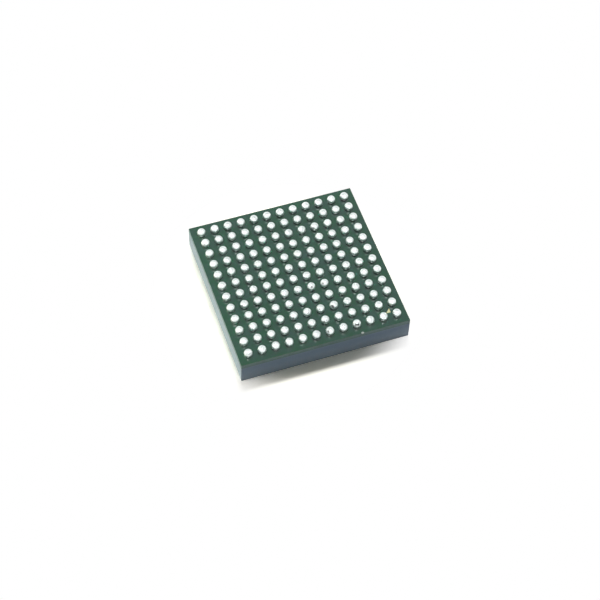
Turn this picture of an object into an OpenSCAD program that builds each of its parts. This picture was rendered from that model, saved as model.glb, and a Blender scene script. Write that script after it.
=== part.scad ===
// Ball grid array package, 144 balls, wire-bonded and moulded.
// It lies on its moulded face with the balls up, so +Z runs from the cap to the balls.
// The origin is the centre of the moulded face. Millimetres.

/* [Body] */
// Side of the square body, sawn flush through cap and substrate
body_side = 10; // [9.9:0.05:12]
// Thickness of the moulded cap
cap_h = 1.24; // [0.9:0.01:1.6]
// Diameter of the dimple that marks ball A1's corner on the moulded face
dimple_d = 0.8; // [0.4:0.05:1.2]
// Depth of that dimple
dimple_h = 0.03; // [0.01:0.01:0.1]
// Distance of the dimple's centre from both edges of the body
dimple_inset = 1; // [0.8:0.05:2]

/* [Substrate] */
// Thickness of the laminate core
core_t = 0.21; // [0.1:0.01:0.4]
// Thickness of the copper foil on each face of the core
foil_t = 0.02; // [0.01:0.005:0.035]
// Thickness of solder mask over the copper
mask_t = 0.025; // [0.01:0.005:0.04]
// Diameter of a copper-filled via through the core
via_d = 0.14; // [0.1:0.01:0.16]
// Diameter of the copper pad at each end of a via
via_pad_d = 0.22; // [0.18:0.01:0.24]
// Sideways distance from a ball to its via, along X and along Y
via_shift = 0.36; // [0.33:0.01:0.37]
// Width of the trace between a land and its via
link_w = 0.1; // [0.06:0.01:0.12]
// Width of a signal trace on the die side
trace_w = 0.05; // [0.03:0.005:0.06]
// Width of the copper bar from the die pad to a corner pour
corner_bar_w = 0.15; // [0.1:0.01:0.2]
// Copper beyond the outermost via pads of a pour
pour_margin = 0.03; // [0.01:0.005:0.04]

/* [Ball grid] */
// Distance between the centres of neighbouring balls
pitch = 0.8; // [0.78:0.01:0.81]
// Diameter of a solder ball at its widest
ball_d = 0.5; // [0.44:0.01:0.54]
// Diameter of the round opening in the mask that a ball's foot fills
opening_d = 0.4; // [0.32:0.01:0.42]
// Diameter of the copper land under a ball
land_d = 0.5; // [0.45:0.01:0.54]
// Length of the two short sides of the gold corner mark, as far as the mask leaves it bare
mark_leg = 0.3; // [0.2:0.01:0.34]
// Width of the corner mark's edges under the mask
mark_lap = 0.02; // [0.01:0.005:0.03]

/* [Die and wires] */
// Side of the square silicon die
die_side = 3.8; // [3.6:0.05:4.6]
// Thickness of the die
die_t = 0.28; // [0.1:0.01:0.35]
// Thickness of the adhesive under the die
attach_t = 0.025; // [0.01:0.005:0.05]
// Width of adhesive squeezed out past each edge of the die
attach_lap = 0.05; // [0.02:0.01:0.1]
// Distance between neighbouring wires on the die
pad_pitch = 0.19; // [0.12:0.01:0.19]
// Distance of the wires' ball bonds from the edge of the die
pad_inset = 0.1; // [0.06:0.01:0.2]
// Width of a bond finger
finger_w = 0.1; // [0.08:0.005:0.12]
// Length of a bond finger
finger_l = 0.3; // [0.24:0.01:0.32]
// Bare substrate past both ends of the bond fingers, where the mask is open
window_gap = 0.05; // [0.02:0.01:0.06]
// Side of the square bond wire
wire_w = 0.024; // [0.016:0.001:0.03]
// Height of the wire loop over the die
loop_h = 0.14; // [0.1:0.01:0.2]
// Diameter of the ball bond on the die
bond_d = 0.06; // [0.04:0.005:0.08]
// Height of the ball bond
bond_h = 0.016; // [0.01:0.002:0.03]
// Length of wire pressed flat on the finger
stitch_l = 0.08; // [0.04:0.01:0.12]

/* [Edge chip] */
// Place of the small chip along the front edge
chip_x = 2.15; // [-4:0.05:4]
// Radius of the chip's hollow
chip_r = 0.09; // [0.08:0.01:0.3]
// Depth of the chip, square to the edge
chip_depth = 0.03; // [0.02:0.005:0.07]

/* [Hidden] */
$fn = 48;

// Counts of the grid. Ball A1 is at the corner +X, -Y: letters run to -X, numbers to +Y.
grid_n = 12;
half_n = grid_n / 2;
// Balls from the centre out that share the copper pour under the die
pour_n = 3;
// Wires on one half of a side: three for each row of vias beside the pour, but two for the last
half_wires = 3 * pour_n - 1;

// Heights, from the moulded face up
die_z = cap_h - attach_t - die_t;
die_foil_z = cap_h + mask_t;
core_z = die_foil_z + foil_t;
ball_foil_z = core_z + core_t;
ball_mask_z = ball_foil_z + foil_t;
top_z = ball_mask_z + mask_t;

// A ball meets the mask at the rim of its opening
ball_r = ball_d / 2;
ball_rise = sqrt(pow(ball_r, 2) - pow(opening_d / 2, 2));

// Places on the substrate, from its centre out
pour_half = site(pour_n - 1) + via_pad_d / 2 + pour_margin;
corner_from = site(pour_n) - via_pad_d / 2 - pour_margin;
corner_to = site(half_n - 1) + via_pad_d / 2 + pour_margin;
finger_x = (site(pour_n - 1) + site(pour_n)) / 2;
lane = pitch / 4;
ring_from = finger_x - finger_l / 2 - window_gap;
ring_to = finger_x + finger_l / 2 + window_gap;
// The corner mark is centred among the four balls nearest ball A1's corner
mark_k = half_n - 1;
// Room that a cutting shape has past the face it cuts
past = 0.01;

// Distance from the centre of ball k and of via k, counted from the centre out
function ball_at(k) = (k + 0.5) * pitch;
function site(k) = ball_at(k) + via_shift;

function unit(v) = v / norm(v);
function side_of(v) = [-v.y, v.x];
// Offset of a line's corner from its centre line, for a line one unit wide on each side
function corner_of(before, after) =
  let (a = side_of(unit(before)), b = side_of(unit(after)), m = unit(a + b))
  m / (m * a);
// Offset at point i of a line of points
function offset_at(p, i) =
  corner_of(
    p[max(i, 1)] - p[max(i, 1) - 1],
    p[min(i, len(p) - 2) + 1] - p[min(i, len(p) - 2)]
  );
// Outline of a line of points, drawn w wide
function line_outline(p, w) = concat(
  [for (i = [0 : len(p) - 1]) p[i] + offset_at(p, i) * w / 2],
  [for (i = [len(p) - 1 : -1 : 0]) p[i] - offset_at(p, i) * w / 2]
);

// The shape in one quadrant, repeated in all four
module quadrants() {
  for (sx = [-1, 1]) {
    for (sy = [-1, 1]) {
      flip(sx, sy) children();
    }
  }
}

module flip(sx, sy) {
  mirror([sx < 0 ? 1 : 0, 0, 0]) mirror([0, sy < 0 ? 1 : 0, 0]) children();
}

// The shape on the right side, repeated on all four
module sides() {
  for (turn = [0 : 90 : 270]) {
    rotate([0, 0, turn]) children();
  }
}

// The shape in the upper half of a side, and its mirror image in the lower half
module halves() {
  children();
  mirror([0, 1, 0]) children();
}

// A plate as large as the body
module slab(z, t) {
  translate([-body_side / 2, -body_side / 2, z]) cube([body_side, body_side, t]);
}

// The small shell-shaped chip in the front top edge
module edge_chip() {
  out = chip_r - chip_depth;
  translate([chip_x, -body_side / 2 - out / sqrt(2), top_z + out / sqrt(2)]) sphere(r = chip_r);
}

// The via of ball (i, j) of a quadrant is missing where the corner mark lies
function has_via(i, j, sx, sy) = !(i == mark_k - 1 && j == mark_k - 1 && sx > 0 && sy < 0);

// ---- Copper ----------------------------------------------------------------

// A bar of width w and thickness t along a line of points
module bar(p, w, t) {
  linear_extrude(t) polygon(line_outline(p, w));
}

// A square plate from one corner to the opposite one
module plate(from, to, t) {
  translate([from, from, 0]) cube([to - from, to - from, t]);
}

// Land, trace and via pad of one ball, at the ball's place
module dog_bone(t) {
  cylinder(d = land_d, h = t);
  bar([[0, 0], [via_shift, via_shift]], link_w, t);
  translate([via_shift, via_shift, 0]) cylinder(d = via_pad_d, h = t);
}

// The ball beside the corner mark has no room for a via, so it is tied to its neighbour
module tied_land(t) {
  cylinder(d = land_d, h = t);
  bar([[-pitch, 0], [0, 0]], link_w, t);
}

// The foil on the ball side, t thick
module ball_side_foil(t) {
  plate(-pour_half, pour_half, t);
  for (sx = [-1, 1]) {
    for (sy = [-1, 1]) {
      flip(sx, sy) {
        for (i = [0 : half_n - 1]) {
          for (j = [0 : half_n - 1]) {
            if (max(i, j) >= pour_n) {
              translate([ball_at(i), ball_at(j), 0]) {
                if (has_via(i, j, sx, sy)) dog_bone(t);
                else tied_land(t);
              }
            }
          }
        }
      }
    }
  }
}

// One signal: finger, trace and via pad. Column c = 0 to 2 counts from the fingers out.
module signal(row, c, t) {
  step = c == 0 ? 0 : c == 1 ? lane : -lane;
  y = site(row);
  x = site(pour_n + c);
  translate([finger_x - finger_l / 2, y + step - finger_w / 2, 0]) cube([finger_l, finger_w, t]);
  if (c == 0) {
    bar([[finger_x, y], [x, y]], trace_w, t);
  } else {
    bar([[finger_x, y + step], [x - lane, y + step], [x, y]], trace_w, t);
  }
  translate([x, y, 0]) cylinder(d = via_pad_d, h = t);
}

// The via beside the end of a row of fingers has no room for a trace, so a bar ties it to the corner pour
module tied_via(t) {
  x = site(pour_n + 1);
  y = site(pour_n - 1);
  bar([[x, y], [x, site(pour_n)]], trace_w, t);
  translate([x, y, 0]) cylinder(d = via_pad_d, h = t);
}

// The foil on the die side, t thick: the die pad, the corner pours and the signals
module die_side_foil(t) {
  plate(-pour_half, pour_half, t);
  quadrants() {
    bar([[0, 0], [corner_to, corner_to]], corner_bar_w, t);
    plate(corner_from, corner_to, t);
  }
  sides() halves() {
    tied_via(t);
    for (row = [0 : pour_n - 1]) {
      for (c = [0 : half_n - pour_n - 1]) {
        if (row < pour_n - 1 || c != 1) signal(row, c, t);
      }
    }
  }
}

// The triangle of the corner mark, larger all round by lap, its right angle towards ball A1's corner
module mark(lap, t) {
  at = mark_k * pitch;
  side = mark_leg / 2 + lap;
  tip = mark_leg / 2 + lap * (1 + sqrt(2));
  translate([at, -at, 0]) linear_extrude(t) polygon([[side, tip], [side, -side], [-tip, -side]]);
}

// The square ring round the die where the mask is open for the bond fingers
module bond_ring(t) {
  difference() {
    plate(-ring_to, ring_to, t);
    translate([0, 0, -past]) plate(-ring_from, ring_from, t + 2 * past);
  }
}

// ---- Bond wires ------------------------------------------------------------

// Centre line of a wire that spans l: along it, and up from the face of the die
function wire_line(l) =
  let (
    flat = -(die_foil_z - die_z) + wire_w / 2,
    knee = 3 * wire_w,
    crest = loop_h - wire_w / 2
  )
  [
    [0, bond_h / 2],
    [0, crest - knee],
    [knee * 0.3, crest - knee * 0.3],
    [knee, crest],
    [l * 0.4, crest - knee * 0.3],
    [l * 0.62, (crest + flat) / 2],
    [l - stitch_l, flat],
    [l, flat]
  ];

// Wire n from the middle of a side, from its ball bond to its finger
module bond_wire(n) {
  row = floor(n / 3);
  start = [die_side / 2 - pad_inset, (n + 0.5) * pad_pitch];
  end = [finger_x, site(row) + (n % 3 - 1) * lane];
  run = end - start;
  translate([start.x, start.y, die_z]) {
    translate([0, 0, -bond_h]) cylinder(d = bond_d, h = bond_h);
    rotate([0, 0, atan2(run.y, run.x)])
      rotate([-90, 0, 0])
        linear_extrude(height = wire_w, center = true)
          polygon(line_outline(wire_line(norm(run)), wire_w));
  }
}

module wires_of_side(turn) {
  rotate([0, 0, turn]) halves() {
    for (n = [0 : half_wires - 1]) {
      bond_wire(n);
    }
  }
}

module all_wires() {
  for (turn = [0 : 90 : 270]) {
    wires_of_side(turn);
  }
}

// ---- Pieces ----------------------------------------------------------------

module mould_cap() {
  color([0.30, 0.35, 0.39]) difference() {
    union() {
      slab(0, cap_h);
      // compound that filled the open ring round the fingers
      translate([0, 0, cap_h - past]) bond_ring(core_z - cap_h + past);
    }
    translate([body_side / 2 - dimple_inset, -body_side / 2 + dimple_inset, -past])
      cylinder(d = dimple_d, h = dimple_h + past);
    die();
    die_attach();
    all_wires();
    translate([0, 0, die_foil_z]) die_side_foil(foil_t + past);
  }
}

module die_attach() {
  side = die_side + 2 * attach_lap;
  color([0.75, 0.75, 0.72])
    translate([-side / 2, -side / 2, cap_h - attach_t]) cube([side, side, attach_t]);
}

module die() {
  color([0.35, 0.36, 0.42])
    translate([-die_side / 2, -die_side / 2, die_z]) cube([die_side, die_side, die_t]);
}

module bond_wires(turn) {
  color([0.93, 0.75, 0.30]) wires_of_side(turn);
}

module die_side_mask() {
  color([0.10, 0.36, 0.26]) difference() {
    slab(cap_h, mask_t + foil_t);
    translate([0, 0, cap_h - past]) bond_ring(mask_t + foil_t + 2 * past);
    translate([0, 0, die_foil_z]) die_side_foil(foil_t + past);
  }
}

module die_side_copper() {
  color([0.80, 0.50, 0.30]) translate([0, 0, die_foil_z]) die_side_foil(foil_t);
}

module via_rods(z, h) {
  for (sx = [-1, 1]) {
    for (sy = [-1, 1]) {
      for (i = [0 : half_n - 1]) {
        for (j = [0 : half_n - 1]) {
          if (has_via(i, j, sx, sy)) {
            translate([sx * site(i), sy * site(j), z]) cylinder(d = via_d, h = h);
          }
        }
      }
    }
  }
}

module laminate_core() {
  color([0.55, 0.52, 0.36]) difference() {
    slab(core_z, core_t);
    via_rods(core_z - past, core_t + 2 * past);
    edge_chip();
  }
}

module filled_vias() {
  color([0.80, 0.50, 0.30]) via_rods(core_z, core_t);
}

module ball_side_copper() {
  color([0.80, 0.50, 0.30]) translate([0, 0, ball_foil_z]) ball_side_foil(foil_t);
}

module index_mark() {
  color([0.90, 0.72, 0.28]) translate([0, 0, ball_foil_z]) mark(mark_lap, foil_t);
}

module ball_side_mask() {
  color([0.10, 0.33, 0.24]) difference() {
    slab(ball_foil_z, foil_t + mask_t);
    translate([0, 0, ball_foil_z - past]) {
      ball_side_foil(foil_t + past);
      mark(mark_lap, foil_t + past);
      mark(0, foil_t + mask_t + 2 * past);
    }
    quadrants() {
      for (i = [0 : half_n - 1]) {
        for (j = [0 : half_n - 1]) {
          translate([ball_at(i), ball_at(j), ball_mask_z - past])
            cylinder(d = opening_d, h = mask_t + 2 * past);
        }
      }
    }
    edge_chip();
  }
}

// One ball: its foot fills the opening, and the rest is a sphere cut by the mask's face
module ball() {
  cylinder(d = opening_d, h = mask_t);
  translate([0, 0, mask_t]) intersection() {
    translate([0, 0, ball_rise]) sphere(r = ball_r);
    translate([-ball_r, -ball_r, 0]) cube([ball_d, ball_d, ball_rise + ball_d]);
  }
}

// Row 0 is row A, at +X
module ball_row(row) {
  color([0.88, 0.90, 0.91]) {
    for (j = [0 : grid_n - 1]) {
      translate([ball_at(half_n - 1 - row), ball_at(j - half_n), ball_mask_z]) ball();
    }
  }
}

mould_cap();
die_attach();
die();
bond_wires(0);  // bond_wires_right
bond_wires(90);  // bond_wires_back
bond_wires(180);  // bond_wires_left
bond_wires(270);  // bond_wires_front
die_side_mask();
die_side_copper();
laminate_core();
filled_vias();
ball_side_copper();
index_mark();
ball_side_mask();
ball_row(0);  // ball_row_a
ball_row(1);  // ball_row_b
ball_row(2);  // ball_row_c
ball_row(3);  // ball_row_d
ball_row(4);  // ball_row_e
ball_row(5);  // ball_row_f
ball_row(6);  // ball_row_g
ball_row(7);  // ball_row_h
ball_row(8);  // ball_row_j
ball_row(9);  // ball_row_k
ball_row(10);  // ball_row_l
ball_row(11);  // ball_row_m
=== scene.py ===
"""Looks of a ball grid array chip that lies on its moulded face with its balls up.

Every solid of the frame keeps its shape and gets a finish of its own. The solder
balls are rebuilt, ball by ball, as reflowed drops with the pits and flux specks of
a chip that has been handled. Metres, with +Z from the moulded face up to the balls.
"""

import logging
import math
from dataclasses import dataclass, field
from enum import Enum

import bpy
from mathutils import Matrix, Vector, noise

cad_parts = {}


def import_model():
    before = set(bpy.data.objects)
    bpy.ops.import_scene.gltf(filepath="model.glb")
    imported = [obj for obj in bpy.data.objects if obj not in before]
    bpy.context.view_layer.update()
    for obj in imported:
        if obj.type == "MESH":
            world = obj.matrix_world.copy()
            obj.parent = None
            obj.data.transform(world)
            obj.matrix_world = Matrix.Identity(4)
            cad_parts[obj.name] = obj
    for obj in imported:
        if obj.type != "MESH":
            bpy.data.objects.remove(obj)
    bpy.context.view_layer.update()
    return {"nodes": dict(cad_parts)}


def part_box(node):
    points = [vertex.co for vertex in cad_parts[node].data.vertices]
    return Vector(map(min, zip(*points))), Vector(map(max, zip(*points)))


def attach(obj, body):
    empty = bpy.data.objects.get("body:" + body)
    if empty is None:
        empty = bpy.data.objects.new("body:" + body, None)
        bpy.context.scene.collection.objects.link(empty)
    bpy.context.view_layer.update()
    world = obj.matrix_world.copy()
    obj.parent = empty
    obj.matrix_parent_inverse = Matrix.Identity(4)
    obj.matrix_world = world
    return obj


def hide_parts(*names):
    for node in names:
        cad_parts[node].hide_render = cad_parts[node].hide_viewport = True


MM = 0.001
BODY = "root"

Rgb = tuple[float, float, float]
Span = tuple[float, float]
Socket = bpy.types.NodeSocket
Value = float | Rgb | Vector | Socket

log = logging.getLogger("chip")


class Slot(Enum):
    """Material slots of the record."""

    MOULD = "mould_compound"
    MASK = "solder_mask"
    LAMINATE = "laminate"
    SOLDER = "solder"
    GOLD = "gold"
    COPPER = "copper"
    SILICON = "silicon"
    ADHESIVE = "die_adhesive"


def linear(colour: Rgb) -> tuple[float, float, float, float]:
    """Turns a display colour into the linear colour that a shader takes.

    Args:
        colour: Red, green and blue from 0 to 1, as a screen shows them.

    Returns:
        The linear colour, opaque.
    """
    parts = [c / 12.92 if c <= 0.04045 else ((c + 0.055) / 1.055) ** 2.4 for c in colour]
    return (*parts, 1.0)


# ---- Node trees ------------------------------------------------------------


class Tree:
    """A node tree, and short ways to add and join its nodes."""

    def __init__(self, tree: bpy.types.NodeTree) -> None:
        """Takes hold of a tree.

        Args:
            tree: The node tree of a material, a world or a group.
        """
        self.tree = tree

    def node(
        self, kind: str, inputs: dict[str | int, Value] | None = None, **settings: str | bool
    ) -> bpy.types.Node:
        """Adds a node.

        Args:
            kind: The node's type, such as "ShaderNodeMath".
            inputs: A value or a socket for each input, by name or number.
            **settings: The node's own properties.

        Returns:
            The new node.
        """
        made = self.tree.nodes.new(kind)
        for name, value in settings.items():
            setattr(made, name, value)
        for name, value in (inputs or {}).items():
            self.feed(made.inputs[name], value)
        return made

    def feed(self, target: Socket, value: Value) -> None:
        """Links a socket to an input, or sets the input's own value."""
        if isinstance(value, bpy.types.NodeSocket):
            self.tree.links.new(value, target)
        else:
            target.default_value = value

    def math(self, operation: str, first: Value, second: Value = 0.0, clamp: bool = False) -> Socket:
        """Adds a Math node.

        Args:
            operation: What the node works out, such as "MULTIPLY".
            first: Its first value.
            second: Its second value.
            clamp: Whether the result is kept from 0 to 1.

        Returns:
            The result's socket.
        """
        made = self.node("ShaderNodeMath", {0: first, 1: second}, operation=operation, use_clamp=clamp)
        return made.outputs[0]

    def vector_math(self, operation: str, first: Value, second: Value) -> Socket:
        """Adds a Vector Math node of two vectors and returns its vector."""
        made = self.node("ShaderNodeVectorMath", {0: first, 1: second}, operation=operation)
        return made.outputs["Vector"]

    def ramp(
        self, value: Value, low: float, high: float, at_low: float = 0.0, at_high: float = 1.0
    ) -> Socket:
        """Adds a smooth step.

        Args:
            value: What is mapped.
            low: The value at which the step starts.
            high: The value at which it ends.
            at_low: The result before the step.
            at_high: The result after it.

        Returns:
            The result's socket.
        """
        made = self.node(
            "ShaderNodeMapRange",
            {"Value": value, "From Min": low, "From Max": high, "To Min": at_low, "To Max": at_high},
            interpolation_type="SMOOTHSTEP",
        )
        return made.outputs["Result"]

    def blend(self, share: Value, first: Value, second: Value, how: str = "MIX") -> Socket:
        """Adds a Mix node for colours.

        Args:
            share: How much of the second colour shows.
            first: The first colour.
            second: The second colour.
            how: The way of blending, such as "MIX" or "MULTIPLY".

        Returns:
            The blended colour's socket.
        """
        made = self.node("ShaderNodeMix", data_type="RGBA", blend_type=how)
        self.feed(made.inputs["Factor"], share)
        self.feed(made.inputs[6], first)
        self.feed(made.inputs[7], second)
        return made.outputs[2]

    def group(self, tree: bpy.types.NodeTree, inputs: dict[str | int, Value]) -> bpy.types.Node:
        """Places a node group with its own values and returns its node."""
        made = self.node("ShaderNodeGroup")
        made.node_tree = tree
        for name, value in inputs.items():
            self.feed(made.inputs[name], value)
        return made


def new_group(
    name: str, inputs: dict[str, str], outputs: dict[str, str]
) -> tuple[Tree, bpy.types.Node, bpy.types.Node]:
    """Starts a shader node group.

    Args:
        name: The group's name.
        inputs: Kind of each input socket, "Float", "Color" or "Vector", by its name.
        outputs: Kind of each output socket, by its name.

    Returns:
        The group's tree, its input node and its output node.
    """
    group = bpy.data.node_groups.new(name, "ShaderNodeTree")
    for sockets, side in ((inputs, "INPUT"), (outputs, "OUTPUT")):
        for label, kind in sockets.items():
            group.interface.new_socket(label, in_out=side, socket_type="NodeSocket" + kind)
    tree = Tree(group)
    return tree, tree.node("NodeGroupInput"), tree.node("NodeGroupOutput")


class Effects:
    """The node groups that several finishes share. Positions are in millimetres."""

    def __init__(self) -> None:
        """Builds every group once."""
        self.grain = self._grain()
        self.tone = self._tone()
        self.saw = self._saw()
        self.nick = self._nick()

    @staticmethod
    def _grain() -> bpy.types.NodeTree:
        """Fine even grain: a height about zero."""
        tree, given, result = new_group(
            "Fine grain", {"Position": "Vector", "Size": "Float", "Strength": "Float"}, {"Height": "Float"}
        )
        scale = tree.math("DIVIDE", 1.0, given.outputs["Size"])
        cloud = tree.node(
            "ShaderNodeTexNoise",
            {"Vector": given.outputs["Position"], "Scale": scale, "Detail": 2.0, "Roughness": 0.6},
        )
        centred = tree.math("SUBTRACT", cloud.outputs["Fac"], 0.5)
        tree.feed(result.inputs["Height"], tree.math("MULTIPLY", centred, given.outputs["Strength"]))
        return tree.tree

    @staticmethod
    def _tone() -> bpy.types.NodeTree:
        """A colour that drifts between two tones."""
        tree, given, result = new_group(
            "Uneven tone",
            {
                "Position": "Vector",
                "Size": "Float",
                "Color": "Color",
                "Other Color": "Color",
                "Sharpness": "Float",
            },
            {"Color": "Color"},
        )
        scale = tree.math("DIVIDE", 1.0, given.outputs["Size"])
        cloud = tree.node(
            "ShaderNodeTexNoise",
            {"Vector": given.outputs["Position"], "Scale": scale, "Detail": 4.0, "Roughness": 0.55},
        )
        from_middle = tree.math("SUBTRACT", cloud.outputs["Fac"], 0.5)
        spread = tree.math("MULTIPLY", from_middle, given.outputs["Sharpness"])
        share = tree.math("ADD", spread, 0.5, clamp=True)
        mixed = tree.blend(share, given.outputs["Color"], given.outputs["Other Color"])
        tree.feed(result.inputs["Color"], mixed)
        return tree.tree

    @staticmethod
    def _saw() -> bpy.types.NodeTree:
        """Upright scratches that the dicing saw leaves on the side faces only."""
        tree, given, result = new_group(
            "Saw marks",
            {"Position": "Vector", "Width": "Float", "Length": "Float"},
            {"Marks": "Float", "Side": "Float"},
        )
        place = tree.node("ShaderNodeSeparateXYZ", {"Vector": given.outputs["Position"]})
        across = [tree.math("DIVIDE", place.outputs[axis], given.outputs["Width"]) for axis in ("X", "Y")]
        along = tree.math("DIVIDE", place.outputs["Z"], given.outputs["Length"])
        stretched = tree.node("ShaderNodeCombineXYZ", {"X": across[0], "Y": across[1], "Z": along})
        cloud = tree.node(
            "ShaderNodeTexNoise",
            {"Vector": stretched.outputs["Vector"], "Scale": 1.0, "Detail": 3.0, "Roughness": 0.7},
        )
        facing = tree.node("ShaderNodeNewGeometry")
        upright = tree.node("ShaderNodeSeparateXYZ", {"Vector": facing.outputs["True Normal"]})
        side = tree.math("LESS_THAN", tree.math("ABSOLUTE", upright.outputs["Z"]), 0.5)
        centred = tree.math("SUBTRACT", cloud.outputs["Fac"], 0.5)
        tree.feed(result.inputs["Marks"], tree.math("MULTIPLY", centred, side))
        tree.feed(result.inputs["Side"], side)
        return tree.tree

    @staticmethod
    def _nick() -> bpy.types.NodeTree:
        """The bare spot where the edge is chipped."""
        tree, given, result = new_group(
            "Bare nick", {"Position": "Vector", "Centre": "Vector", "Radius": "Float"}, {"Bare": "Float"}
        )
        apart = tree.node(
            "ShaderNodeVectorMath",
            {0: given.outputs["Position"], 1: given.outputs["Centre"]},
            operation="DISTANCE",
        )
        share = tree.math("DIVIDE", apart.outputs["Value"], given.outputs["Radius"])
        tree.feed(result.inputs["Bare"], tree.ramp(share, 0.75, 1.05, 1.0, 0.0))
        return tree.tree


# ---- Finishes --------------------------------------------------------------


@dataclass(frozen=True)
class Finish:
    """What every finish has: a name, and a way to start its material."""

    name: str = "finish"

    def start(self) -> tuple[Tree, bpy.types.Node, Socket, bpy.types.Material]:
        """Starts the material.

        Returns:
            Its tree, its shader, the position in millimetres and the material itself.
        """
        material = bpy.data.materials.new(self.name)
        material.use_nodes = True
        tree = Tree(material.node_tree)
        tree.tree.nodes.clear()
        shader = tree.node("ShaderNodeBsdfPrincipled")
        tree.node("ShaderNodeOutputMaterial", {"Surface": shader.outputs["BSDF"]})
        where = tree.node("ShaderNodeTexCoord")
        position = tree.vector_math("DIVIDE", where.outputs["Object"], (MM, MM, MM))
        return tree, shader, position, material

    @staticmethod
    def emboss(tree: Tree, shader: bpy.types.Node, height: Socket, depth: float) -> None:
        """Feeds a height to the shader's normal.

        Args:
            tree: The material's tree.
            shader: Its shader.
            height: The height, about one unit from low to high.
            depth: What one unit stands for, in millimetres.
        """
        bump = tree.node("ShaderNodeBump", {"Height": height, "Distance": depth * MM, "Strength": 1.0})
        tree.feed(shader.inputs["Normal"], bump.outputs["Normal"])


@dataclass(frozen=True)
class SolderFinish(Finish):
    """Satin tin solder: fine crystals, and dark flux left in the pits."""

    name: str = "satin solder"
    bright: Rgb = (0.955, 0.98, 0.975)
    dull: Rgb = (0.885, 0.92, 0.915)
    flux: Rgb = (0.22, 0.24, 0.24)
    crystal: float = 0.05
    roughness: float = 0.34
    roughness_drift: float = 0.15

    def build(self, effects: Effects) -> bpy.types.Material:
        """Builds the material from the shared effects and returns it."""
        tree, shader, position, material = self.start()
        tone = tree.group(
            effects.tone,
            {
                "Position": position,
                "Size": self.crystal * 3,
                "Color": linear(self.bright),
                "Other Color": linear(self.dull),
                "Sharpness": 3.0,
            },
        )
        specks = tree.node("ShaderNodeAttribute", attribute_name=SolderBall.FLUX_LAYER)
        tree.feed(
            shader.inputs["Base Color"],
            tree.blend(specks.outputs["Fac"], tone.outputs["Color"], linear(self.flux)),
        )
        grain = tree.group(effects.grain, {"Position": position, "Size": self.crystal, "Strength": 1.0})
        drift = tree.math("MULTIPLY", grain.outputs["Height"], self.roughness_drift)
        tree.feed(shader.inputs["Roughness"], tree.math("ADD", drift, self.roughness, clamp=True))
        shader.inputs["Metallic"].default_value = 1.0
        self.emboss(tree, shader, grain.outputs["Height"], 0.003)
        return material


@dataclass(frozen=True)
class MaskFinish(Finish):
    """Glossy green lacquer, sawn at the sides and bare where the edge is chipped."""

    name: str = "green solder mask"
    deep: Rgb = (0.085, 0.31, 0.215)
    light: Rgb = (0.15, 0.305, 0.265)
    bare: Rgb = (0.80, 0.84, 0.84)
    roughness: float = 0.07
    gloss: float = 0.75
    ripple: float = 0.5
    cloud: float = 0.45

    def build(self, effects: Effects, nick: Vector, nick_radius: float) -> bpy.types.Material:
        """Builds the material.

        Args:
            effects: The shared node groups.
            nick: The middle of the chipped spot, in millimetres.
            nick_radius: Its radius.

        Returns:
            The material.
        """
        tree, shader, position, material = self.start()
        tone = tree.group(
            effects.tone,
            {
                "Position": position,
                "Size": self.cloud,
                "Color": linear(self.deep),
                "Other Color": linear(self.light),
                "Sharpness": 4.0,
            },
        )
        spot = tree.group(effects.nick, {"Position": position, "Centre": nick, "Radius": nick_radius})
        tree.feed(
            shader.inputs["Base Color"],
            tree.blend(spot.outputs["Bare"], tone.outputs["Color"], linear(self.bare)),
        )
        saw = tree.group(effects.saw, {"Position": position, "Width": 0.05, "Length": 1.5})
        matte = tree.math("MULTIPLY", saw.outputs["Side"], 0.3)
        tree.feed(shader.inputs["Roughness"], tree.math("ADD", matte, self.roughness))
        peel = tree.group(effects.grain, {"Position": position, "Size": self.ripple, "Strength": 1.0})
        height = tree.math("ADD", peel.outputs["Height"], saw.outputs["Marks"])
        shader.inputs["Specular IOR Level"].default_value = self.gloss
        self.emboss(tree, shader, height, 0.001)
        return material


@dataclass(frozen=True)
class MouldFinish(Finish):
    """Slate grey epoxy full of fine silica: sawn at the sides, eroded satin below.

    The sides are painted paler towards their foot, up to a height in millimetres. This is painted light:
    it evens out the studio's shading, which leaves the sides darker low down.
    """

    name: str = "slate mould compound"
    slate: Rgb = (0.33, 0.425, 0.535)
    pale: Rgb = (0.36, 0.45, 0.55)
    filler: float = 0.03
    roughness: float = 0.5
    dust: float = 1.0
    dust_roughness: float = 0.35
    dust_tint: Rgb = (0.96, 1.0, 0.95)
    gloss: float = 0.35
    painted_light_tone: Rgb = (0.66, 0.73, 0.80)
    painted_light: float = 0.5
    painted_light_height: float = 1.2

    def build(self, effects: Effects) -> bpy.types.Material:
        """Builds the material from the shared effects and returns it."""
        tree, shader, position, material = self.start()
        saw = tree.group(effects.saw, {"Position": position, "Width": 0.06, "Length": 3.0})
        tone = tree.group(
            effects.tone,
            {
                "Position": position,
                "Size": self.filler,
                "Color": linear(self.slate),
                "Other Color": linear(self.pale),
                "Sharpness": 2.5,
            },
        )
        height = tree.node("ShaderNodeSeparateXYZ", {"Vector": position}).outputs["Z"]
        # Painted light: the sides turn paler towards their foot to even out their shading.
        painted_light = tree.ramp(height, 0.0, self.painted_light_height, self.painted_light, 0.0)
        painted_light = tree.math("MULTIPLY", painted_light, saw.outputs["Side"])
        surface = tree.blend(painted_light, tone.outputs["Color"], linear(self.painted_light_tone))
        tree.feed(shader.inputs["Base Color"], surface)
        drift = tree.math("MULTIPLY", saw.outputs["Marks"], 0.25)
        tree.feed(shader.inputs["Roughness"], tree.math("ADD", drift, self.roughness, clamp=True))
        grain = tree.group(effects.grain, {"Position": position, "Size": self.filler, "Strength": 0.5})
        height = tree.math("ADD", saw.outputs["Marks"], grain.outputs["Height"])
        self.emboss(tree, shader, height, 0.004)
        shader.inputs["Sheen Weight"].default_value = self.dust
        shader.inputs["Sheen Roughness"].default_value = self.dust_roughness
        shader.inputs["Specular IOR Level"].default_value = self.gloss
        shader.inputs["Sheen Tint"].default_value = linear(self.dust_tint)
        return material


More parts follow.
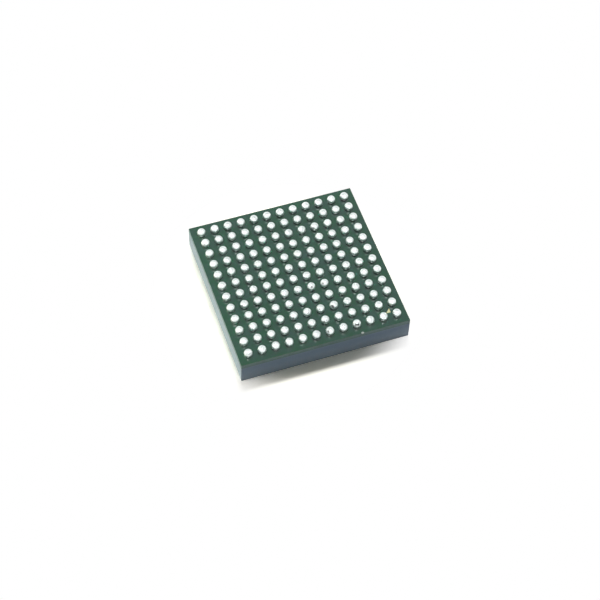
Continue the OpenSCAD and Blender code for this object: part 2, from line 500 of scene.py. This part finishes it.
@dataclass(frozen=True)
class LaminateFinish(Finish):
    """Sawn resin and glass cloth, whose yarn ends show as short pale dashes."""

    name: str = "sawn glass laminate"
    resin: Rgb = (0.26, 0.385, 0.39)
    glass: Rgb = (0.33, 0.455, 0.455)
    bare: Rgb = (0.86, 0.88, 0.87)
    yarn: float = 0.22
    roughness: float = 0.45

    def build(self, effects: Effects, nick: Vector, nick_radius: float) -> bpy.types.Material:
        """Builds the material.

        Args:
            effects: The shared node groups.
            nick: The middle of the chipped spot, in millimetres.
            nick_radius: Its radius.

        Returns:
            The material.
        """
        tree, shader, position, material = self.start()
        cloth = tree.group(
            effects.tone,
            {
                "Position": position,
                "Size": self.yarn,
                "Color": linear(self.resin),
                "Other Color": linear(self.glass),
                "Sharpness": 3.0,
            },
        )
        spot = tree.group(effects.nick, {"Position": position, "Centre": nick, "Radius": nick_radius})
        tree.feed(
            shader.inputs["Base Color"],
            tree.blend(spot.outputs["Bare"], cloth.outputs["Color"], linear(self.bare)),
        )
        saw = tree.group(effects.saw, {"Position": position, "Width": 0.04, "Length": 0.8})
        drift = tree.math("MULTIPLY", saw.outputs["Marks"], 0.3)
        tree.feed(shader.inputs["Roughness"], tree.math("ADD", drift, self.roughness, clamp=True))
        self.emboss(tree, shader, saw.outputs["Marks"], 0.004)
        return material


@dataclass(frozen=True)
class MetalFinish(Finish):
    """Plated or etched metal with a fine grain."""

    name: str = "metal"
    colour: Rgb = (0.9, 0.7, 0.4)
    dull: Rgb = (0.8, 0.6, 0.35)
    grain: float = 0.03
    roughness: float = 0.3
    depth: float = 0.002
    metallic: float = 1.0

    def build(self, effects: Effects) -> bpy.types.Material:
        """Builds the material from the shared effects and returns it."""
        tree, shader, position, material = self.start()
        tone = tree.group(
            effects.tone,
            {
                "Position": position,
                "Size": self.grain * 4,
                "Color": linear(self.colour),
                "Other Color": linear(self.dull),
                "Sharpness": 3.0,
            },
        )
        tree.feed(shader.inputs["Base Color"], tone.outputs["Color"])
        grain = tree.group(effects.grain, {"Position": position, "Size": self.grain, "Strength": 1.0})
        drift = tree.math("MULTIPLY", grain.outputs["Height"], 0.2)
        tree.feed(shader.inputs["Roughness"], tree.math("ADD", drift, self.roughness, clamp=True))
        shader.inputs["Metallic"].default_value = self.metallic
        self.emboss(tree, shader, grain.outputs["Height"], self.depth)
        return material


@dataclass(frozen=True)
class InnerFinish(Finish):
    """Silicon or cured adhesive, sealed inside the package."""

    name: str = "silicon"
    colour: Rgb = (0.35, 0.36, 0.42)
    other: Rgb = (0.31, 0.32, 0.38)
    grain: float = 0.08
    roughness: float = 0.2
    depth: float = 0.001

    def build(self, effects: Effects) -> bpy.types.Material:
        """Builds the material from the shared effects and returns it."""
        tree, shader, position, material = self.start()
        tone = tree.group(
            effects.tone,
            {
                "Position": position,
                "Size": self.grain,
                "Color": linear(self.colour),
                "Other Color": linear(self.other),
                "Sharpness": 2.0,
            },
        )
        tree.feed(shader.inputs["Base Color"], tone.outputs["Color"])
        grain = tree.group(effects.grain, {"Position": position, "Size": self.grain, "Strength": 1.0})
        drift = tree.math("MULTIPLY", grain.outputs["Height"], 0.1)
        tree.feed(shader.inputs["Roughness"], tree.math("ADD", drift, self.roughness, clamp=True))
        self.emboss(tree, shader, grain.outputs["Height"], self.depth)
        return material


# ---- The chip --------------------------------------------------------------


@dataclass(frozen=True)
class Pit:
    """A small hollow in a ball, with dark flux in it.

    Turn is in degrees from the front towards +X, rise in degrees above the mask,
    and radius, depth and darkness say how large, deep and dark the pit is.
    """

    turn: float
    rise: float
    radius: float = 0.045 * MM
    depth: float = 0.012 * MM
    darkness: float = 0.8

    def centre(self) -> Vector:
        """Returns the direction of the pit from the middle of the ball."""
        turn, rise = math.radians(self.turn), math.radians(self.rise)
        return Vector((math.sin(turn) * math.cos(rise), -math.cos(turn) * math.cos(rise), math.sin(rise)))


@dataclass
class SolderBall:
    """One reflowed ball: a drop that stands on the round opening in the mask."""

    FLUX_LAYER = "flux"

    centre: Vector
    radius: float
    mask_z: float
    land_z: float
    pits: tuple[Pit, ...] = ()
    seed: float = 0.0
    plain_steps: int = 20
    pitted_steps: int = 56
    unevenness: float = 0.006
    swell: float = 1.7

    def skin(self, way: Vector) -> tuple[Vector, float]:
        """Finds the ball's skin in one direction.

        Args:
            way: A direction from the middle of the ball, one unit long.

        Returns:
            The point on the skin, and how much flux lies there.
        """
        wave = noise.noise(way * self.swell + Vector((self.seed, 0.0, 0.0)))
        reach = self.radius * (1.0 - self.unevenness * max(0.0, 0.5 + wave))
        flux = 0.0
        for pit in self.pits:
            apart = (way - pit.centre()).length * self.radius / pit.radius
            hollow = math.exp(-(apart**2))
            reach -= pit.depth * hollow
            flux = max(flux, pit.darkness * min(1.0, hollow * 1.6))
        return self.centre + way * reach, flux

    def add_to(self, points: list[Vector], flux: list[float], faces: list[list[int]]) -> None:
        """Adds the ball to a mesh that is being listed.

        Args:
            points: The mesh's points so far.
            flux: The flux at each of them.
            faces: The mesh's faces so far.
        """
        steps = self.pitted_steps if self.pits else self.plain_steps
        around = steps * 2
        low = -math.asin((self.centre.z - self.mask_z) / self.radius)
        first = len(points)
        foot = math.cos(low) * self.radius
        for ring in range(-1, steps):
            rise = low + (math.pi / 2 - low) * max(ring, 0) / steps
            for k in range(around):
                turn = 2 * math.pi * k / around
                if ring < 1:
                    place, dark = self.centre + Vector((math.cos(turn), math.sin(turn), 0)) * foot, 0.0
                    place.z = self.mask_z if ring == 0 else self.land_z
                else:
                    flat = math.cos(rise)
                    way = Vector((math.cos(turn) * flat, math.sin(turn) * flat, math.sin(rise)))
                    place, dark = self.skin(way)
                points.append(place)
                flux.append(dark)
        for way, ring in ((Vector((0, 0, 1)), steps), (Vector((0, 0, -1)), 0)):
            place, dark = self.skin(way)
            if not ring:
                place.z = self.land_z
            points.append(place)
            flux.append(dark)
        top, bottom = len(points) - 2, len(points) - 1
        for k in range(around):
            after = (k + 1) % around
            faces.append([bottom, first + after, first + k])
            for ring in range(steps):
                row = first + ring * around
                faces.append([row + k, row + after, row + around + after, row + around + k])
            row = first + steps * around
            faces.append([row + k, row + after, top])


@dataclass
class BallArray:
    """The full grid of solder balls, one piece for each lettered row.

    Handled names the balls that have pits, by letter and number, as A1.
    """

    letters: str = "abcdefghjklm"
    count: int = 12
    handled: dict[str, tuple[Pit, ...]] = field(
        default_factory=lambda: {
            "d1": (
                Pit(-39, 39, 0.062 * MM, darkness=1.0),
                Pit(-20, 39, 0.045 * MM, darkness=0.75),
                Pit(2, 40, 0.068 * MM, darkness=1.0),
            ),
            "f1": (Pit(-55, 43, 0.055 * MM, darkness=0.9), Pit(-44, 25, 0.045 * MM, darkness=0.6)),
            "m1": (
                Pit(-52, 33, 0.07 * MM, darkness=0.25),
                Pit(-28, 42, 0.06 * MM, darkness=0.35),
                Pit(-2, 42, 0.06 * MM, darkness=0.45),
                Pit(23, 41, 0.06 * MM, darkness=0.4),
            ),
            "d2": (Pit(-23, 10, 0.05 * MM, darkness=0.8),),
            "f2": (Pit(-32, 21, 0.06 * MM, darkness=0.7), Pit(4, 45, 0.045 * MM, darkness=0.5)),
            "e3": (
                Pit(-58, 36, 0.06 * MM, 0.016 * MM, 0.8),
                Pit(-46, 32, 0.07 * MM, 0.02 * MM, 0.9),
                Pit(-33, 23, 0.07 * MM, 0.02 * MM, 0.9),
            ),
            "f3": (Pit(-40, 46, 0.05 * MM, darkness=0.6),),
            "g3": (Pit(-2, 42, 0.05 * MM, darkness=0.5),),
            "h3": (Pit(-25, 20, 0.05 * MM, darkness=0.7),),
            "m3": (Pit(-14, 21, 0.05 * MM, darkness=0.6),),
            "h4": (
                Pit(-36, 33, 0.04 * MM, darkness=0.45),
                Pit(-15, 40, 0.035 * MM, darkness=0.5),
                Pit(5, 42, 0.035 * MM, darkness=0.5),
                Pit(25, 40, 0.035 * MM, darkness=0.4),
            ),
            "f5": (Pit(-11, 47, 0.05 * MM, darkness=0.9),),
            "e5": (Pit(-54, 45, 0.055 * MM, darkness=0.7), Pit(-51, 31, 0.04 * MM, darkness=0.5)),
            "g5": (Pit(-24, 30, 0.06 * MM, darkness=0.5),),
            "l5": (Pit(-52, 25, 0.05 * MM, darkness=0.7),),
            "g7": (Pit(-10, 41, 0.04 * MM, darkness=0.7), Pit(6, 40, 0.04 * MM, darkness=0.8)),
            "g9": (Pit(-8, 43, 0.045 * MM, darkness=0.7),),
            "d10": (Pit(-43, 20, 0.08 * MM, 0.02 * MM, 0.6), Pit(-30, 24, 0.05 * MM, darkness=0.4)),
            "m11": (Pit(-28, 30, 0.05 * MM, darkness=0.5),),
        }
    )

    def build(self, material: bpy.types.Material) -> list[bpy.types.Object]:
        """Builds every row in place of its plain one.

        Args:
            material: The solder's finish.

        Returns:
            The rows.
        """
        rows = []
        for index, letter in enumerate(self.letters):
            row = self._row(index, letter)
            row.data.materials.append(material)
            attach(row, BODY)
            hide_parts("ball_row_" + letter)
            rows.append(row)
        return rows

    def _row(self, index: int, letter: str) -> bpy.types.Object:
        """Builds the balls of one row.

        Args:
            index: The row's number, from 0 at +X.
            letter: The row's letter.

        Returns:
            The row.
        """
        low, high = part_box("ball_row_" + letter)
        mask_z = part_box("ball_side_mask")[1].z
        radius = (high.x - low.x) / 2
        pitch = (high.y - low.y - 2 * radius) / (self.count - 1)
        points: list[Vector] = []
        flux: list[float] = []
        faces: list[list[int]] = []
        for k in range(self.count):
            middle = Vector(((low.x + high.x) / 2, low.y + radius + k * pitch, high.z - radius))
            pits = self.handled.get(f"{letter}{k + 1}", ())
            ball = SolderBall(middle, radius, mask_z, low.z, pits, seed=index * 31.7 + k * 5.3)
            ball.add_to(points, flux, faces)
        mesh = bpy.data.meshes.new("solder_balls_" + letter)
        mesh.from_pydata(points, [], faces)
        mesh.attributes.new(SolderBall.FLUX_LAYER, "FLOAT", "POINT").data.foreach_set("value", flux)
        mesh.shade_smooth()
        mesh.set_sharp_from_angle(angle=math.radians(60))
        row = bpy.data.objects.new(mesh.name, mesh)
        bpy.context.scene.collection.objects.link(row)
        return row


@dataclass
class Package:
    """The solids that keep their shape: body, substrate, die and wires.

    Nick_x is the place of the chipped spot along the front edge, in millimetres.
    """

    nick_x: float = 2.15
    nick_radius: float = 0.09
    slots: dict[str, Slot] = field(
        default_factory=lambda: {
            "mould_cap": Slot.MOULD,
            "die_attach": Slot.ADHESIVE,
            "die": Slot.SILICON,
            "bond_wires_right": Slot.GOLD,
            "bond_wires_back": Slot.GOLD,
            "bond_wires_left": Slot.GOLD,
            "bond_wires_front": Slot.GOLD,
            "die_side_mask": Slot.MASK,
            "die_side_copper": Slot.COPPER,
            "laminate_core": Slot.LAMINATE,
            "filled_vias": Slot.COPPER,
            "ball_side_copper": Slot.COPPER,
            "index_mark": Slot.GOLD,
            "ball_side_mask": Slot.MASK,
        }
    )

    def nick(self) -> Vector:
        """Returns the middle of the chipped spot, in millimetres."""
        low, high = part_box("ball_side_mask")
        return Vector((self.nick_x, low.y / MM, high.z / MM))

    def dress(self, nodes: dict[str, bpy.types.Object], finishes: dict[Slot, bpy.types.Material]) -> None:
        """Gives each solid its finish.

        Args:
            nodes: The frame's solids by name.
            finishes: The material of each slot.
        """
        for name, slot in self.slots.items():
            for place in nodes[name].material_slots:
                place.material = finishes[slot]
            log.info("%s is %s", name, slot.value)


# ---- The studio ------------------------------------------------------------


@dataclass
class Studio:
    """White surroundings, a plain pale floor, and a long soft strip light behind and above.

    The fill is dimmest in front and rises towards the back. A strong low belt on the
    left lights the left side well past a plain level, and a faint low fill lights the
    front. The box is a small bright patch that only glossy rays see. Toward is the
    direction of the strip from the chip, and each pair of numbers is where a change
    in the surroundings starts and ends, as a part of a direction one unit long.
    """

    floor_side: float = 1.2
    floor_colour: Rgb = (0.86, 0.86, 0.855)
    paper: Rgb = (1.0, 1.0, 0.965)
    fill: Rgb = (0.98, 0.96, 0.93)
    fill_warm: Rgb = (1.0, 0.975, 0.89)
    fill_front: float = 0.03
    fill_back: float = 0.45
    fill_left: float = 48.0
    fill_low: float = 0.9
    fill_rise: Span = (-0.1, 0.6)
    belt_rise: Span = (-0.15, 0.15)
    belt_fall: Span = (0.3, 0.6)
    low_fade: Span = (0.05, 0.35)
    left_fade: Span = (-0.5, 0.0)
    front_fade: Span = (-0.3, 0.0)
    gloss_rise: Span = (0.55, 0.9)
    toward: Vector = field(default_factory=lambda: Vector((0.14, 0.42, 0.90)))
    strip_distance: float = 1.0
    strip_length: float = 0.28
    strip_width: float = 0.15
    strip_power: float = 7.0
    box_toward: Vector = field(default_factory=lambda: Vector((-0.11, -0.30, 0.95)).normalized())
    box_spread: float = 10.0
    box_gloss: float = 36.0
    gloss_below: float = 1.12
    gloss_above: float = 0.58
    floor_lift: float = 0.46
    fade_middle: float = -0.45 * MM
    fade_start: float = 5.5 * MM
    fade_end: float = 8.0 * MM

    def build(self) -> None:
        """Builds the surroundings, the floor and the lamp."""
        self._surroundings()
        self._floor()
        self._strip()

    def _surroundings(self) -> None:
        """Lights the chip, looks plain white, and in gloss is greyer above with the box in it."""
        world = bpy.data.worlds.new("studio")
        bpy.context.scene.world = world
        world.use_nodes = True
        tree = Tree(world.node_tree)
        tree.tree.nodes.clear()
        path = tree.node("ShaderNodeLightPath")
        seen = tree.math("MAXIMUM", path.outputs["Is Camera Ray"], path.outputs["Is Glossy Ray"])
        seen = tree.math("MAXIMUM", seen, path.outputs["Is Transmission Ray"])
        way = tree.node("ShaderNodeTexCoord").outputs["Generated"]
        part = tree.node("ShaderNodeSeparateXYZ", {"Vector": way})
        level = tree.ramp(part.outputs["Y"], *self.fill_rise, self.fill_front, self.fill_back)
        rising = tree.ramp(part.outputs["Y"], *self.belt_rise)
        belt = tree.math("SUBTRACT", rising, tree.ramp(part.outputs["Y"], *self.belt_fall))
        low = tree.ramp(part.outputs["Z"], *self.low_fade, 1.0, 0.0)
        left = tree.ramp(part.outputs["X"], *self.left_fade, self.fill_left, 0.0)
        front = tree.ramp(part.outputs["Y"], *self.front_fade, self.fill_low, 0.0)
        sides = tree.math("ADD", tree.math("MULTIPLY", belt, left), front)
        level = tree.math("ADD", level, tree.math("MULTIPLY", sides, low))
        warm = tree.ramp(part.outputs["X"], *self.left_fade, 1.0, 0.0)
        tint = tree.blend(warm, linear(self.fill), linear(self.fill_warm))
        soft = tree.node("ShaderNodeBackground", {"Color": tint, "Strength": level})
        near = tree.node("ShaderNodeVectorMath", {0: way, 1: self.box_toward}, operation="DOT_PRODUCT")
        inside = tree.ramp(near.outputs["Value"], math.cos(math.radians(self.box_spread)), 1.0)
        gloss = tree.math("MULTIPLY", path.outputs["Is Glossy Ray"], self.box_gloss)
        above = tree.ramp(
            part.outputs["Z"], *self.gloss_rise, self.gloss_below - 1.0, self.gloss_above - 1.0
        )
        above = tree.math("MULTIPLY", above, path.outputs["Is Glossy Ray"])
        glint = tree.math("ADD", tree.math("MULTIPLY", inside, gloss), tree.math("ADD", above, 1.0))
        white = tree.node("ShaderNodeBackground", {"Color": (1.0, 1.0, 1.0, 1.0), "Strength": glint})
        mixed = tree.node("ShaderNodeMixShader", {0: seen, 1: soft.outputs[0], 2: white.outputs[0]})
        tree.node("ShaderNodeOutputWorld", {"Surface": mixed.outputs[0]})

    def _floor(self) -> None:
        """Lays the floor just under the chip."""
        half, z = self.floor_side / 2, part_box("mould_cap")[0].z - 0.001 * MM
        mesh = bpy.data.meshes.new("floor")
        corners = [(-half, -half, z), (half, -half, z), (half, half, z), (-half, half, z)]
        mesh.from_pydata(corners, [], [(0, 1, 2, 3)])
        floor = bpy.data.objects.new("floor", mesh)
        bpy.context.scene.collection.objects.link(floor)
        tree, shader, position, material = Finish("plain floor").start()
        cloud = tree.node("ShaderNodeTexNoise", {"Vector": position, "Scale": 0.05, "Detail": 2.0})
        tree.feed(shader.inputs["Roughness"], tree.ramp(cloud.outputs["Fac"], 0.3, 0.7, 0.85, 0.95))
        shader.inputs["Specular IOR Level"].default_value = 0.0
        self._whiten(tree, shader, position)
        mesh.materials.append(material)

    def _whiten(self, tree: Tree, shader: bpy.types.Node, position: Socket) -> None:
        """Lets the floor fade to a plain white background away from the chip. The fade is painted light:
        its white glow also lifts the ends of the chip's shadow near the corners.

        Args:
            tree: The floor's tree.
            shader: Its shader.
            position: The position in millimetres.
        """
        path = tree.node("ShaderNodeLightPath")
        seen = tree.math("MAXIMUM", path.outputs["Is Camera Ray"], path.outputs["Is Glossy Ray"])
        seen = tree.math("MAXIMUM", seen, path.outputs["Is Transmission Ray"])
        paper = linear(self.paper)
        tree.feed(shader.inputs["Base Color"], tree.blend(seen, linear(self.floor_colour), paper))
        middle = (self.fade_middle / MM, 0.0, 0.0)
        away = tree.node("ShaderNodeVectorMath", {0: position, 1: middle}, operation="DISTANCE")
        # Painted light: a white glow by distance from the chip, which wipes out the shadow's ends towards
        # the corners.
        fade = tree.ramp(away.outputs["Value"], self.fade_start / MM, self.fade_end / MM)
        share = tree.math("MULTIPLY", seen, self.floor_lift)
        lift = tree.node("ShaderNodeBsdfDiffuse", {"Color": tree.blend(share, (0.0, 0.0, 0.0, 1.0), paper)})
        lifted = tree.node("ShaderNodeAddShader", {0: shader.outputs["BSDF"], 1: lift.outputs[0]})
        white = tree.node("ShaderNodeEmission", {"Color": (1.0, 1.0, 1.0, 1.0), "Strength": 1.0})
        mixed = tree.node(
            "ShaderNodeMixShader",
            {0: tree.math("MULTIPLY", seen, fade), 1: lifted.outputs[0], 2: white.outputs[0]},
        )
        output = next(node for node in tree.tree.nodes if node.type == "OUTPUT_MATERIAL")
        tree.feed(output.inputs["Surface"], mixed.outputs[0])

    def _strip(self) -> None:
        """Hangs the strip light, its long side along X."""
        lamp = bpy.data.lights.new("soft strip", "AREA")
        lamp.shape = "RECTANGLE"
        lamp.size, lamp.size_y = self.strip_length, self.strip_width
        lamp.energy = self.strip_power
        light = bpy.data.objects.new("soft strip", lamp)
        light.visible_glossy = False
        bpy.context.scene.collection.objects.link(light)
        back = self.toward.normalized()
        across = Vector((1, 0, 0))
        across = (across - back * across.dot(back)).normalized()
        axes = Matrix((across, back.cross(across), back)).transposed()
        light.matrix_world = Matrix.Translation(back * self.strip_distance) @ axes.to_4x4()


@dataclass
class Viewpoint:
    """The camera: where it stands round the chip and how it is framed.

    Turn and rise are its direction from the chip, in degrees, roll is its lean, and
    right and up are how far the chip's middle lies from the middle of the view.
    """

    turn: float = -21.174
    rise: float = 54.95
    roll: float = 2.689
    distance: float = 97.62 * MM
    right: float = -0.131 * MM
    up: float = 1.649 * MM
    middle_z: float = 1.786 * MM
    sensor: float = 36.0
    lens: float = 102.387

    def build(self) -> None:
        """Sets up the camera and makes it the scene's own."""
        turn, rise = math.radians(self.turn), math.radians(self.rise)
        back = Vector((math.sin(turn) * math.cos(rise), -math.cos(turn) * math.cos(rise), math.sin(rise)))
        side = Vector((math.cos(turn), math.sin(turn), 0.0))
        axes = Matrix((side, back.cross(side), back)).transposed()
        axes = axes @ Matrix.Rotation(math.radians(self.roll), 3, "Z")
        data = bpy.data.cameras.new("camera")
        data.sensor_width, data.lens = self.sensor, self.lens
        data.clip_start, data.clip_end = 1 * MM, 10.0
        camera = bpy.data.objects.new("camera", data)
        bpy.context.scene.collection.objects.link(camera)
        place = axes @ Vector((-self.right, -self.up, self.distance)) + Vector((0, 0, self.middle_z))
        camera.matrix_world = Matrix.Translation(place) @ axes.to_4x4()
        bpy.context.scene.camera = camera


def corners(box: tuple[Vector, Vector]) -> list[list[float]]:
    """Returns a box's two corners as plain lists."""
    return [list(corner) for corner in box]


def main() -> None:
    """Builds the view, the studio and the chip."""
    logging.basicConfig(level=logging.INFO, format="%(name)s: %(message)s")
    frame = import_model()
    bpy.context.scene.view_settings.view_transform = "Standard"
    Viewpoint().build()
    Studio().build()

    effects = Effects()
    package = Package()
    nick, nick_radius = package.nick(), package.nick_radius
    gold = MetalFinish(
        "soft gold", (1.0, 1.0, 0.80), (0.97, 0.975, 0.76), roughness=0.1, depth=0.0002, metallic=0.5
    )
    adhesive = InnerFinish(
        "cured adhesive", (0.75, 0.75, 0.72), (0.66, 0.66, 0.62), grain=0.05, roughness=0.5, depth=0.004
    )
    finishes = {
        Slot.MOULD: MouldFinish().build(effects),
        Slot.MASK: MaskFinish().build(effects, nick, nick_radius),
        Slot.LAMINATE: LaminateFinish().build(effects, nick, nick_radius),
        Slot.SOLDER: SolderFinish().build(effects),
        Slot.GOLD: gold.build(effects),
        Slot.COPPER: MetalFinish("etched copper", (0.87, 0.56, 0.40), (0.78, 0.48, 0.33)).build(effects),
        Slot.SILICON: InnerFinish().build(effects),
        Slot.ADHESIVE: adhesive.build(effects),
    }
    package.dress(frame["nodes"], finishes)
    for row in BallArray().build(finishes[Slot.SOLDER]):
        log.info("%s has %d faces", row.name, len(row.data.polygons))


if __name__ == "__main__":
    main()
